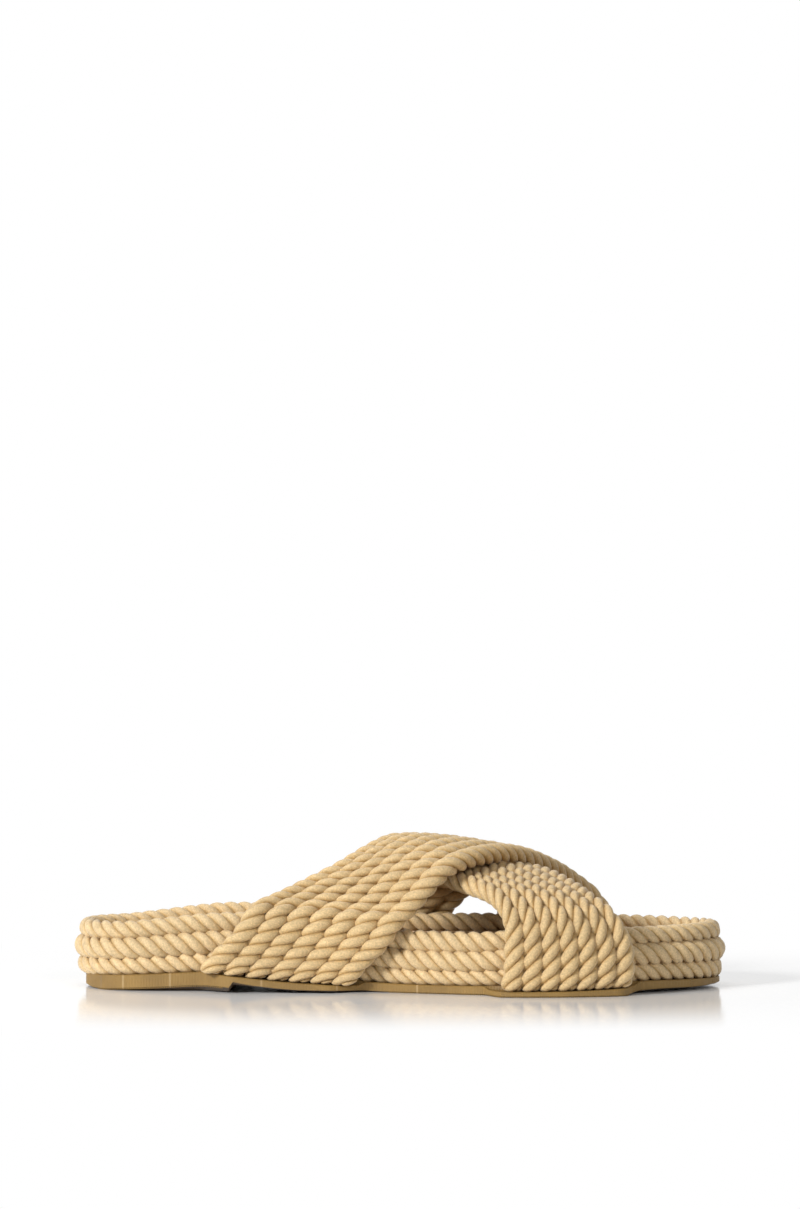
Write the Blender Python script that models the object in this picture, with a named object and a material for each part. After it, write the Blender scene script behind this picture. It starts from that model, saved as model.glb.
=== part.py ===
"""Rope sandal: moulded outsole, footbed, three rope courses and a crossed rope upper.

The toe points to +X, the inner side of the foot lies on -Y and the sole stands on z = 0.
Tables are in millimetres, measured from the heel end of the rope wall.
"""

import math

import bpy
from mathutils import Vector

MM = 0.001

# Driving dimensions, millimetres
SHOE_LENGTH = 265.0
ROPE_RADIUS = 3.7
ROPES_PER_STRAP = 7
PIECE_GAP = 0.3
COURSE_HALF_WIDTH = 3.5
COURSE_SET_BACK = 1.0
FOOTBED_SET_IN = 8.4
FOOTBED_DROP = 6.5
FOOTBED_EDGE = 0.9
STRAP_LIFT = 6.7
REAR_SAG = 3.5
STRAP_WEB = 1.4
LEDGE_WIDTH = 8.4
HEEL_BREAST = 65.0
BREAST_SLANT = 7.0

# Plan of the rope wall: station, inner half width, outer half width
OUTLINE = [
    (0, 0, 0), (4, 14.5, 14.5), (12, 22.5, 23), (24, 27.6, 29.5), (42, 30, 34.5),
    (62, 30.5, 37), (84, 29.5, 38), (104, 30.5, 39), (124, 34.5, 41), (144, 41, 43.5),
    (163, 46.5, 45), (180, 48.5, 45), (198, 47.5, 43.5), (215, 44, 40.5), (230, 37.5, 36),
    (243, 30, 30), (254, 21.5, 22), (261, 13, 13.5), (265, 0, 0),
]

# Side view of the wall: station, height where the ropes start, height of the rim
WALL = [
    (0, 6.0, 27.0), (15, 6.2, 27.0), (32, 6.9, 28.2), (50, 7.8, 30.1), (62, 8.2, 30.9),
    (78, 8.0, 30.8), (95, 6.7, 29.4), (110, 5.1, 27.8), (125, 3.9, 26.5), (140, 3.5, 25.9),
    (160, 3.6, 25.8), (185, 4.0, 25.8), (210, 4.5, 25.8), (230, 4.9, 25.8), (250, 4.5, 25.8),
    (265, 4.0, 26.1),
]

# Underside of the outsole ahead of the heel: station, height above the floor
ARCH = [
    (65, 3.1), (73, 2.6), (81, 1.7), (90, 1.0), (106, 0.7), (118, 0.3), (126, 0.0),
    (220, 0.0), (230, 0.8), (240, 1.1), (252, 1.0), (265, 1.3),
]

# Underside of the heel lift: station, height above the floor
HEEL = [(0, 0.5), (5, 0.0), (30, 0.0), (44, 0.2), (65, 0.6)]

# Lift of the outsole's edge over its underside: station, lift
EDGE_LIFT = [
    (0, 0.3), (8, 0.2), (20, 0.6), (36, 1.0), (52, 1.3), (62, 0.8), (80, 0.2), (126, 0.2), (265, 0.2),
]

# Height of the cut rope ends: station, height above the floor
STRAP_FOOT = [
    (50, 8.0), (62, 6.8), (72, 5.6), (85, 4.2), (100, 3.2), (112, 2.6), (125, 3.0),
    (150, 3.2), (175, 1.8), (200, 2.0), (222, 2.8), (234, 3.6),
]

# Top of the instep under the upper strap: station, height of the lower strap's middle
CROWN = [
    (55, 37), (75, 41.5), (90, 45.5), (105, 49), (120, 51.3), (133, 51.8), (150, 50.3),
    (171, 47), (190, 44.2), (205, 41.3), (222, 37.5), (240, 33),
]

# Run of each strap over the foot: way across (0 inner foot, 1 outer foot), rearmost rope, foremost rope
OVER_STRAP = [
    (0, 55.8, 108.6), (0.05, 59.8, 112.4), (0.1, 64, 117), (0.15, 69, 121.8), (0.2, 74.3, 127.2),
    (0.25, 81, 134.5), (0.3, 89.5, 144), (0.4, 107, 160.5), (0.5, 125, 175.5), (0.6, 139, 190.5),
    (0.7, 157.5, 204.5), (0.75, 167.5, 211.5), (0.8, 175, 216.5), (0.9, 178.8, 220.5), (1, 179.5, 221.5),
]
UNDER_STRAP = [
    (0, 176.6, 219.5), (0.05, 177.3, 221.2), (0.1, 178, 221.4), (0.18, 177.9, 219.6),
    (0.215, 177.6, 217.4), (0.25, 176, 214.6), (0.28, 173.5, 212), (0.31, 170, 209),
    (0.34, 165.5, 206.3), (0.4, 154, 201), (0.5, 136, 189), (0.6, 121, 175.5), (0.7, 107, 161),
    (0.75, 99.5, 154), (0.8, 92, 148.5), (0.9, 84, 139.5), (1, 76, 130),
]

# Ledge of the outsole under each strap foot: start, full width, full width, end
INNER_LEDGES = [(50, 66, 104, 119), (165, 174, 217, 229)]
OUTER_LEDGES = [(61, 73, 126, 141), (168, 177, 219, 231)]


def read_table(table, at, column=1, scale=float):
    """Value of a table's column at a station, joined by smooth curves."""
    keys = [scale(row[0]) for row in table]
    values = [row[column] for row in table]
    key = scale(at)
    if key <= keys[0]:
        return values[0]
    if key >= keys[-1]:
        return values[-1]
    last = len(keys) - 1
    low = max(i for i in range(last) if keys[i] <= key)

    def slope(i):
        if i == 0:
            return (values[1] - values[0]) / (keys[1] - keys[0])
        if i == last:
            return (values[-1] - values[-2]) / (keys[-1] - keys[-2])
        before = keys[i] - keys[i - 1]
        after = keys[i + 1] - keys[i]
        rise_before = (values[i] - values[i - 1]) / before
        rise_after = (values[i + 1] - values[i]) / after
        if rise_before * rise_after <= 0:
            return 0.0
        mean = (rise_before * after + rise_after * before) / (before + after)
        steepest = 3 * min(abs(rise_before), abs(rise_after))
        return max(-steepest, min(steepest, mean))

    span = keys[low + 1] - keys[low]
    u = (key - keys[low]) / span
    start = (2 * u ** 3 - 3 * u ** 2 + 1) * values[low] + (u ** 3 - 2 * u ** 2 + u) * span * slope(low)
    end = (3 * u ** 2 - 2 * u ** 3) * values[low + 1] + (u ** 3 - u ** 2) * span * slope(low + 1)
    return start + end


def soft_step(x):
    x = min(1.0, max(0.0, x))
    return x * x * (3 - 2 * x)


def around_heel(station):
    """Stations spread as an angle, so that heel and toe come out round."""
    return math.acos(max(-1.0, min(1.0, 1 - 2 * station / SHOE_LENGTH)))


def half_width(station, side):
    return read_table(OUTLINE, station, 1 if side < 0 else 2, around_heel)


def wall_foot(station):
    return read_table(WALL, station, 1)


def rim_height(station):
    return read_table(WALL, station, 2)


def outline_point(turn, side, outset):
    """Point of the plan moved outwards by outset; turn runs from 0 at the heel to pi at the toe."""
    def place(angle):
        if angle < 0:
            mirrored, on_side = -angle, -side
        elif angle > math.pi:
            mirrored, on_side = 2 * math.pi - angle, -side
        else:
            mirrored, on_side = angle, side
        station = SHOE_LENGTH / 2 * (1 - math.cos(mirrored))
        return Vector((station, on_side * half_width(station, on_side)))

    here = place(turn)
    along = (place(turn + 0.02) - place(turn - 0.02)).normalized()
    outward = Vector((-along.y, along.x)) * side
    return here + outward * outset


def turn_at(station):
    return around_heel(station)


def tidy_mesh(name, points, faces, material):
    mesh = bpy.data.meshes.new(name)
    mesh.from_pydata([Vector(point) * MM for point in points], [], faces)
    mesh.validate()
    mesh.update()
    piece = bpy.data.objects.new(name, mesh)
    bpy.context.scene.collection.objects.link(piece)
    mesh.materials.append(material)
    return piece


def plain_material(name, colour, roughness):
    material = bpy.data.materials.new(name)
    material.use_nodes = True
    shader = material.node_tree.nodes["Principled BSDF"]
    shader.inputs["Base Color"].default_value = (*colour, 1.0)
    shader.inputs["Roughness"].default_value = roughness
    return material


def footprint_solid(name, turns, rings, material):
    """Solid between matched stations of both sides; rings run from the underside up to the top.

    Each ring is a function of turn and side that returns a point.
    """
    points = []
    loops = []
    for ring in rings:
        loop = [len(points) + i for i in range(2 * len(turns) - 2)]
        points += [ring(turn, -1) for turn in turns]
        points += [ring(turn, 1) for turn in reversed(turns[1:-1])]
        loops.append(loop)
    faces = []
    for lower, upper in zip(loops, loops[1:]):
        for i in range(len(lower)):
            j = (i + 1) % len(lower)
            faces.append((lower[i], lower[j], upper[j], upper[i]))
    count = len(turns)
    for loop, is_top in ((loops[0], False), (loops[-1], True)):
        inner = loop[:count]
        outer = [loop[0]] + list(reversed(loop[count:])) + [loop[count - 1]]
        for i in range(count - 1):
            corners = [inner[i], inner[i + 1], outer[i + 1], outer[i]]
            face = [c for n, c in enumerate(corners) if c not in corners[:n]]
            faces.append(tuple(face if is_top else reversed(face)))
    return tidy_mesh(name, points, faces, material)


def ledge_share(station, side):
    """How much of the ledge's width the outsole has at a station, 0 to 1."""
    share = 0.0
    for start, full, full_end, end in INNER_LEDGES if side < 0 else OUTER_LEDGES:
        rise = soft_step((station - start) / (full - start))
        fall = soft_step((end - station) / (end - full_end))
        share = max(share, rise * fall)
    return share


def underside(station):
    if station <= HEEL_BREAST:
        return read_table(HEEL, station)
    return read_table(ARCH, station)


def outsole_reach(station, side):
    """Distance of the outsole's edge outside the plan of the ropes."""
    heel_end = soft_step(1 - station / 16)
    toe_end = soft_step(1 - (SHOE_LENGTH - station) / 14)
    return -1.0 - 3.7 * heel_end - 1.4 * toe_end + ledge_share(station, side) * (LEDGE_WIDTH + 1.0)


def slanted(turn, side):
    """The heel's breast runs askew: on the outer side it lies further forward."""
    if side < 0:
        return turn
    station = SHOE_LENGTH / 2 * (1 - math.cos(turn))
    near = soft_step(1 - abs(station - HEEL_BREAST) / 32)
    return turn_at(station + BREAST_SLANT * near)


def outsole_ring(inset, height, from_plan=False):
    def point(turn, side):
        tread_station = SHOE_LENGTH / 2 * (1 - math.cos(turn))
        own_turn = slanted(turn, side)
        station = SHOE_LENGTH / 2 * (1 - math.cos(own_turn))
        reach = outsole_reach(station, side)
        base = min(-2.4, reach - 0.6) if from_plan else reach
        spot = outline_point(own_turn, side, base - inset)
        ledge = soft_step((reach + 0.9) / 0.7)
        slab_top = wall_foot(station) - PIECE_GAP
        ledge_top = read_table(STRAP_FOOT, station) + 0.3
        edge_top = slab_top + (ledge_top - slab_top) * ledge
        return (spot.x, spot.y, height(tread_station, edge_top, slab_top))
    return point


def build_outsole(material):
    stations = [SHOE_LENGTH / 2 * (1 - math.cos(math.pi * i / 40)) for i in range(41)]
    stations = [s for s in stations if abs(s - HEEL_BREAST) > 1.6]
    stations += [HEEL_BREAST, HEEL_BREAST + 0.5, 126.0, 220.0]
    turns = [turn_at(s) for s in sorted(stations)]
    turns[0] = 0.0
    turns[-1] = math.pi
    rings = [
        outsole_ring(4.0, lambda s, edge, slab: underside(s)),
        outsole_ring(0.0, lambda s, edge, slab: underside(s) + read_table(EDGE_LIFT, s) + 0.3),
        outsole_ring(0.0, lambda s, edge, slab: edge - 0.4),
        outsole_ring(0.5, lambda s, edge, slab: edge),
        outsole_ring(0.2, lambda s, edge, slab: edge, from_plan=True),
        outsole_ring(0.8, lambda s, edge, slab: slab, from_plan=True),
    ]
    return footprint_solid("outsole", turns, rings, material)


def build_insole(material):
    turns = [math.pi * i / 36 for i in range(37)]

    def ring(inset, height):
        def point(turn, side):
            spot = outline_point(turn, side, -FOOTBED_SET_IN - inset)
            station = SHOE_LENGTH / 2 * (1 - math.cos(turn))
            return (spot.x, spot.y, height(station))
        return point

    rings = [
        ring(0.8, wall_foot),
        ring(0.0, lambda s: wall_foot(s) + 0.8),
        ring(0.0, lambda s: rim_height(s) - FOOTBED_DROP - FOOTBED_EDGE),
        ring(FOOTBED_EDGE, lambda s: rim_height(s) - FOOTBED_DROP),
    ]
    return footprint_solid("insole", turns, rings, material)


def build_course(name, level, material):
    """One closed rope course; level is 0 for the lower, 1 for the middle, 2 for the upper."""
    points = []
    around = 8
    steps = 58
    set_back = 0.0 if level == 1 else COURSE_SET_BACK
    for i in range(steps):
        angle = 2 * math.pi * i / steps
        side = -1 if angle <= math.pi else 1
        turn = angle if side < 0 else 2 * math.pi - angle
        station = SHOE_LENGTH / 2 * (1 - math.cos(turn))
        stack = rim_height(station) - wall_foot(station)
        half_height = (stack - 2 * PIECE_GAP) / 6
        middle = wall_foot(station) + half_height + level * (2 * half_height + PIECE_GAP)
        for k in range(around):
            a = 2 * math.pi * k / around
            out = COURSE_HALF_WIDTH * math.cos(a)
            spot = outline_point(turn, side, out - COURSE_HALF_WIDTH - set_back)
            points.append((spot.x, spot.y, middle + half_height * math.sin(a)))
    faces = []
    for i in range(steps):
        j = (i + 1) % steps
        for k in range(around):
            m = (k + 1) % around
            faces.append((i * around + k, j * around + k, j * around + m, i * around + m))
    return tidy_mesh(name, points, faces, material)


def instep_point(station, across):
    """Point of the surface that the lower strap's middle follows, 0 inner foot to 1 outer foot."""
    rim = rim_height(station)
    crown = read_table(CROWN, station)
    rise = crown - rim
    foot = read_table(STRAP_FOOT, station) + 0.8
    box = soft_step((station - 125) / 45)
    flank = [
        (0.0, 4.1, foot), (0.09, 4.2 + 0.2 * box, foot + 9), (0.18, 3.3 + 0.9 * box, rim - 4.5 + 2 * box),
        (0.215, 1.1 + 2.2 * box, rim + 1.7 + 0.5 * box),
        (0.25, -2.5 + 3.8 * box, rim + 4.4 + 0.08 * (rise - 16) + 1.8 * box),
        (0.31, -9.5 + 3 * box, rim + 1.2 + 0.52 * rise + box),
    ]
    rows = [(way, -half_width(station, -1) - out, z) for way, out, z in flank]
    rows.append((0.40, -0.45 * half_width(station, -1), rim + 0.88 * rise))
    rows.append((0.50, 0.0, crown))
    rows.append((0.60, 0.45 * half_width(station, 1), rim + 0.88 * rise))
    rows += [(1 - way, half_width(station, 1) + out, z) for way, out, z in reversed(flank)]
    return Vector((station, read_table(rows, across, 1), read_table(rows, across, 2)))


def rope_centre(strap, row, across):
    """Middle of a rope; row is 0 for the rearmost rope and 1 for the foremost."""
    table = OVER_STRAP if strap == "over" else UNDER_STRAP
    across = min(1.0, max(0.0, across))
    rear = read_table(table, across, 1)
    fore = read_table(table, across, 2)
    point = instep_point(rear + (fore - rear) * row, across)
    if strap == "over":
        crossing = 0.65 - 0.20 * row
        lift = soft_step((across - crossing + 0.26) / 0.17)
        lift *= soft_step((crossing + 0.24 + 0.19 * row - across) / (0.15 + 0.18 * row))
        point.z += STRAP_LIFT * lift
    else:
        point.z -= REAR_SAG * (1 - row) ** 1.5 * soft_step((across - 0.29) / 0.12) * soft_step((0.62 - across) / 0.2)
    return point


def pressed_share(strap, row, across):
    """How much a rope is pressed against the other strap, 0 to 1: the hollows between close up there."""
    middle, half = (0.635 - 0.18 * row, 0.125) if strap == "over" else (0.445 + 0.19 * row, 0.115)
    return soft_step((across - middle + half) / 0.04) * soft_step((middle + half - across) / 0.04)


def strap_section(strap, across):
    """Closed outline of a strap across its ropes: upper side first, then lower side."""
    last = ROPES_PER_STRAP - 1
    centres = [rope_centre(strap, i / last, across) for i in range(ROPES_PER_STRAP)]
    sideways = []
    upward = []
    for i in range(ROPES_PER_STRAP):
        row = i / last
        along = (rope_centre(strap, row, across + 0.01) - rope_centre(strap, row, across - 0.01)).normalized()
        near_row = rope_centre(strap, max(0.0, row - 0.1), across)
        far_row = rope_centre(strap, min(1.0, row + 0.1), across)
        beside = (far_row - near_row).normalized()
        end_share = soft_step(min(across, 1 - across) / 0.09)
        square = (beside - along * along.dot(beside) * end_share).normalized()
        sideways.append(square)
        if end_share < 0.999:
            along = (along * end_share + Vector((0, 0, 1 if across < 0.5 else -1)) * (1 - end_share)).normalized()
        upward.append(along.cross(square).normalized() * -1)
    upper = []
    lower = []
    for i, (centre, beside, up) in enumerate(zip(centres, sideways, upward)):
        left = (centres[i] - centres[i - 1]).length / 2 if i else ROPE_RADIUS
        right = (centres[i + 1] - centres[i]).length / 2 if i < last else ROPE_RADIUS
        left = min(left, (centres[i] - centres[i - 1]).dot(beside) / 2) if i else left
        right = min(right, (centres[i + 1] - centres[i]).dot(beside) / 2) if i < last else right
        pressed = pressed_share(strap, i / last, across)
        above = pressed if strap == "under" else 0.0
        below = pressed if strap == "over" else 0.0
        for offset, height in ((-0.68 * left, 0.72), (0.0, 1.0), (0.68 * right, 0.72)):
            upper.append(centre + beside * offset + up * ROPE_RADIUS * (height + (1 - height) * above))
            lower.append(centre + beside * offset - up * ROPE_RADIUS * (height + (1 - height) * below))
        if i < last:
            middle = (centres[i] + centres[i + 1]) / 2
            between = (up + upward[i + 1]).normalized()
            pressed = pressed_share(strap, (i + 0.5) / last, across)
            above = pressed if strap == "under" else 0.0
            below = pressed if strap == "over" else 0.0
            upper.append(middle + between * (STRAP_WEB + (ROPE_RADIUS - STRAP_WEB) * above))
            lower.append(middle - between * (STRAP_WEB + (ROPE_RADIUS - STRAP_WEB) * below))
    rear_edge = centres[0] - sideways[0] * ROPE_RADIUS
    fore_edge = centres[-1] + sideways[-1] * ROPE_RADIUS
    return [rear_edge] + upper + [fore_edge] + list(reversed(lower))


def build_strap(name, strap, material):
    steps = [0, 0.05, 0.1, 0.15, 0.18, 0.2, 0.22, 0.245, 0.275, 0.31, 0.35, 0.395, 0.44, 0.48]
    steps = steps + [0.52] + [1 - step for step in reversed(steps[:-1])]
    sections = [strap_section(strap, step) for step in steps]
    size = len(sections[0])
    points = [point for section in sections for point in section]
    faces = []
    for n in range(len(sections) - 1):
        for k in range(size):
            m = (k + 1) % size
            a, b = n * size, (n + 1) * size
            faces.append((a + k, a + m, b + m, b + k))
    for start, is_end in ((0, False), ((len(sections) - 1) * size, True)):
        for k in range(1, size // 2):
            upper_pair = (start + k, start + k + 1)
            lower_pair = (start + size - k - 1, start + size - k)
            face = [start + k, upper_pair[1], lower_pair[0], start + size - k]
            face = [c for n, c in enumerate(face) if c not in face[:n]]
            faces.append(tuple(face if is_end else reversed(face)))
        first = (start, start + 1, start + size - 1)
        faces.append(first if is_end else tuple(reversed(first)))
    return tidy_mesh(name, points, faces, material)


def join_straps(material):
    upper = build_strap("upper", "under", material)
    over = build_strap("strap_over_cutter", "over", material)
    over.hide_render = True
    over.display_type = "WIRE"
    join = upper.modifiers.new("join where the straps cross", "BOOLEAN")
    join.operation = "UNION"
    join.solver = "EXACT"
    join.object = over
    return upper, over


def centre_on_origin(pieces):
    """Move the shoe so that the middle of its box is on the origin and it stands on z = 0."""
    xs = [v.co.x for piece in pieces for v in piece.data.vertices]
    ys = [v.co.y for piece in pieces for v in piece.data.vertices]
    zs = [v.co.z for piece in pieces for v in piece.data.vertices]
    shift = Vector((-(min(xs) + max(xs)) / 2, -(min(ys) + max(ys)) / 2, -min(zs)))
    for piece in pieces:
        for vertex in piece.data.vertices:
            vertex.co += shift
        piece.data.update()
    print("shift in mm:", [round(value / MM, 3) for value in shift])


def main():
    for piece in list(bpy.data.objects):
        bpy.data.objects.remove(piece, do_unlink=True)
    rubber = plain_material("outsole rubber", (0.30, 0.19, 0.09), 0.6)
    lining = plain_material("insole leather", (0.60, 0.42, 0.24), 0.55)
    lower_rope = plain_material("lower course rope", (0.66, 0.50, 0.29), 0.8)
    middle_rope = plain_material("middle course rope", (0.68, 0.52, 0.30), 0.8)
    upper_rope = plain_material("upper course rope", (0.70, 0.54, 0.32), 0.8)
    strap_rope = plain_material("strap rope", (0.72, 0.56, 0.33), 0.8)
    outsole = build_outsole(rubber)
    insole = build_insole(lining)
    lower = build_course("rope_lower", 0, lower_rope)
    middle = build_course("rope_middle", 1, middle_rope)
    rim = build_course("rope_upper", 2, upper_rope)
    upper, over = join_straps(strap_rope)
    centre_on_origin([outsole, insole, lower, middle, rim, upper, over])


main()
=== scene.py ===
"""Rope sandal, dressed: laid ropes for the wall and the crossed straps.

They stand on a ribbed rubber outsole, round a lined and stitched footbed.
"""

import math

import bmesh
import bpy
import numpy as np
from mathutils import Matrix, Vector


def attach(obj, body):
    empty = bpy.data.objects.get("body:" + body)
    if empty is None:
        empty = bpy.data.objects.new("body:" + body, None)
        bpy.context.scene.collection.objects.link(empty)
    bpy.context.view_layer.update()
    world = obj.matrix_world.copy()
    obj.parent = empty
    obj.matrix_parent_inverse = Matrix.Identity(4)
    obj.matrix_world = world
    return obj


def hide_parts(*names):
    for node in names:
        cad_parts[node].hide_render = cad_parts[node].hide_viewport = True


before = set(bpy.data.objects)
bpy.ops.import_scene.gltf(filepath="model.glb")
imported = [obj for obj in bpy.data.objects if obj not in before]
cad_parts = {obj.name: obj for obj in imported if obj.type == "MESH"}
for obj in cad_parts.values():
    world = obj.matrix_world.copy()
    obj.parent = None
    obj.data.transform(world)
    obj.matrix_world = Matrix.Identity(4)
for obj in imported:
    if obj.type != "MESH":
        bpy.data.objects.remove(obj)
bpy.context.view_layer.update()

# Sizes of the sandal are in millimetres; a station is a distance from the back of the heel
MM = 0.001
SHOE_LENGTH = 265.0
SIDE_SHIFT = 1.772
MERGE_DISTANCE = 0.02

# Laid rope: strand's place and size as shares of the rope's radius, facets round it, step along it
ROPE_RADIUS = 3.7
STRAND_OFFSET = 0.53
STRAND_RADIUS = 0.51
STRAND_FACETS = 12
STRAND_STEP = 0.85

# Cut rope ends: length of the rounding, share of the radius that is left at the end
END_ROUNDING = 3.4
END_RADIUS = 0.58

# Straps: length of one turn of the strands, share of a turn from each rope to the next
ROPES_PER_STRAP = 7
UNDER_STRAP_LAY = 19.2
OVER_STRAP_LAY = 18.2
STRAND_SHIFT = 0.31
STRAP_LIFT = 6.3
REAR_SAG = 3.5

# Strap ropes squeezed by their neighbours: width over the room that they have, limits, height
ROPE_FULLNESS = 1.2
NARROWEST_ROPE = 0.9
WIDEST_ROPE = 1.24
ROPE_HEIGHT = 1.1

# Wall: length of one turn of the strands, angle from course to course, height of the pressed ropes
WALL_LAY = 17.0
COURSE_TURN = 0.9
COURSE_FULLNESS = 1.17

# Outsole: how far its edge stands in from the ropes, and how much more at both ends; its ledges
# under the straps; its bed inside the ropes; the breast of its heel
OUTSOLE_SET_IN = 1.0
HEEL_SET_IN = 3.7
HEEL_END = 16.0
TOE_SET_IN = 1.4
TOE_END = 14.0
LEDGE_WIDTH = 8.4
LEDGE_RISE = 0.3
BED_SET_IN = 2.4
BED_GAP = 0.1
HEEL_BREAST = 65.0
BREAST_RUN = 0.4
BREAST_SLANT = 7.0
BREAST_SLANT_REACH = 32.0
SHARP_ANGLE = 35.0

# Fine ribs on the outsole's edge, which follow it round at both ends
RIB_SPACING = 0.62
RIB_BEND = 0.8
RIB_OUTER_SHIFT = 60.0
RIB_HEEL_BEND = 12.0
RIB_TOE_BEND = 250.0

# Faint upright marks on the outsole's edge
SIDE_MARKS = (21.1, 40.1, 77.1, 107.3, 139.3)
MARK_HALF_WIDTH = 0.35

# Tread teeth: stretches of the edge that have them, spacing, insets, heights about the edge, half widths
TEETH_SPANS = [(9.0, 61.5), (128.0, 222.0)]
TEETH_SPACING = 0.78
TOOTH_OUTER_INSET = 0.35
TOOTH_INNER_INSET = 1.1
TOOTH_ROOT = 0.25
TOOTH_OUTER_DROP = 0.32
TOOTH_INNER_DROP = 0.45
TOOTH_ROOT_HALF = 0.34
TOOTH_TIP_HALF = 0.16
TOOTH_FLOOR_GAP = 0.02

# Footbed from its hidden side to its middle: inset from the plan, drop below the rim
FOOTBED_SECTION = [
    (8.2, 12.0), (8.2, 8.4), (8.45, 7.5), (9.2, 6.8), (10.4, 6.5), (11.6, 6.75),
    (12.0, 6.9), (12.5, 6.75), (14.0, 6.7), (17.0, 7.0), (20.0, 7.3),
]

# Stitches round the footbed
STITCH_INSET = 12.0
STITCH_DROP = 6.72
STITCH_SPACING = 3.0
STITCH_HALF_SIZE = (1.0, 0.28, 0.24)
STITCH_END_TURN = 0.02

# Steps round the plan, smallest turn between two of them, small turn that gives a direction
OUTSOLE_STEPS = 150
FOOTBED_STEPS = 110
CLOSEST_TURN = 0.006
SMALL_TURN = 0.004

# Plan of the rope wall: station from the heel, inner half width, outer half width
OUTLINE = [
    (0, 0, 0), (4, 14.5, 14.5), (12, 22.5, 23), (24, 27.6, 29.5), (42, 30, 34.5),
    (62, 30.5, 37), (84, 29.5, 38), (104, 30.5, 39), (124, 34.5, 41), (144, 41, 43.5),
    (163, 46.5, 45), (180, 48.5, 45), (198, 47.5, 43.5), (215, 44, 40.5), (230, 37.5, 36),
    (243, 30, 30), (254, 21.5, 22), (261, 13, 13.5), (265, 0, 0),
]

# Side view of the wall: station, height where the ropes start, height of the rim
WALL = [
    (0, 6.0, 27.0), (15, 6.2, 27.0), (32, 6.9, 28.2), (50, 7.8, 30.1), (62, 8.2, 30.9),
    (78, 8.0, 30.8), (95, 6.7, 29.4), (110, 5.1, 27.8), (125, 3.9, 26.5), (140, 3.5, 25.9),
    (160, 3.6, 25.8), (185, 4.0, 25.8), (210, 4.5, 25.8), (230, 4.9, 25.8), (250, 4.5, 25.8),
    (265, 4.0, 26.1),
]

# Underside of the outsole in front of the heel's breast and behind it: station, height above the floor
ARCH = [
    (65, 3.1), (73, 2.6), (81, 1.7), (90, 1.0), (106, 0.7), (118, 0.3), (126, 0.0),
    (220, 0.0), (230, 0.8), (240, 1.1), (252, 1.0), (265, 1.3),
]
HEEL = [(0, 0.5), (5, 0.0), (30, 0.0), (44, 0.2), (65, 0.6)]

# Lift of the outsole's edge over its underside: station, lift
EDGE_LIFT = [
    (0, 0.3), (8, 0.2), (20, 0.8), (36, 1.5), (52, 2.0), (62, 1.7), (74, 0.3), (126, 0.2), (265, 0.2),
]

# Height of the cut rope ends: station, height above the floor
STRAP_FOOT = [
    (50, 8.0), (62, 6.8), (72, 5.6), (85, 4.2), (100, 3.2), (112, 2.6), (125, 3.0),
    (150, 3.2), (175, 1.8), (200, 2.0), (222, 2.8), (234, 3.6),
]

# Top of the instep under the upper strap: station, height of the lower strap's middle
CROWN = [
    (55, 37), (75, 41.5), (90, 45.3), (105, 48.6), (120, 51.0), (133, 51.9), (150, 51.1),
    (171, 48), (190, 44.6), (205, 41.5), (222, 37.5), (240, 33),
]

# Run of each strap over the foot: way across (0 inner foot, 1 outer foot), rearmost rope, foremost rope
OVER_STRAP = [
    (0, 55.8, 108.6), (0.05, 59.8, 112.4), (0.1, 64, 117), (0.15, 69, 121.8), (0.2, 74.3, 127.2),
    (0.25, 81, 134.5), (0.3, 89.5, 144), (0.4, 107, 160.5), (0.5, 125, 175.5), (0.6, 139, 190.5),
    (0.7, 157.5, 204.5), (0.75, 167.5, 211.5), (0.8, 175, 216.5), (0.9, 178.8, 220.5), (1, 179.5, 221.5),
]
UNDER_STRAP = [
    (0, 176.6, 219.5), (0.05, 177.3, 221.2), (0.1, 178, 221.4), (0.18, 177.9, 219.6),
    (0.215, 177.6, 217.4), (0.25, 176, 214.6), (0.28, 173.5, 212), (0.31, 170, 209),
    (0.34, 165.5, 206.3), (0.4, 154, 201), (0.5, 136, 189), (0.6, 121, 175.5), (0.7, 107, 161),
    (0.75, 99.5, 154), (0.8, 92, 148.5), (0.9, 84, 139.5), (1, 76, 130),
]

# Courses of the wall, lower to upper: start and end of each in the wall's height, the same at the
# inner waist, set-in, width scale
COURSES = [
    (0.0, 0.325, 0.0, 0.29, 5.1, 1.0),
    (0.325, 0.685, 0.29, 0.63, 4.0, 1.05),
    (0.685, 1.0, 0.63, 1.0, 5.8, 1.0),
]
WAIST_STATION = 148.0
WAIST_REACH = 34.0
WAIST_DIP = 1.6

# Colours of the straw rope: crown of a strand, then its flank and the grooves between strands as darker
# copies of it, painted shade; the strap set is a darker copy of the wall set, painted shade on the straps
SHADED_STRAP_STRAW = ((0.62, 0.442, 0.218), (0.46, 0.288, 0.102), (0.12, 0.05, 0.010))
WALL_STRAW = ((0.655, 0.48, 0.256), (0.50, 0.325, 0.125), (0.15, 0.062, 0.014))

# Darker and paler shade of the other finishes
RUBBER = ((0.20, 0.116, 0.027), (0.265, 0.156, 0.038))
RUBBER_MARK = (0.62, 0.46, 0.26)
# Painted shade: dark colour of the outsole's underside and of the slope up to its edge, standing in for the
# shadow under the sole
RUBBER_UNDERSIDE_SHADE = (0.075, 0.046, 0.022)
LINING = ((0.45, 0.29, 0.15), (0.54, 0.36, 0.20))
THREAD = ((0.56, 0.42, 0.26), (0.74, 0.60, 0.42))

# Camera: distance in metres, rise in degrees
CAMERA_DISTANCE = 2.0
CAMERA_RISE = 5.2
SENSOR_WIDTH = 36.0

# Lens and aim in pixels of a frame 800 pixels wide; the aim is above the middle of the sandal
FRAME_WIDTH = 800
FOCAL_LENGTH = 4900
AIM_ABOVE = 380
AIM_AHEAD = 4890

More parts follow.
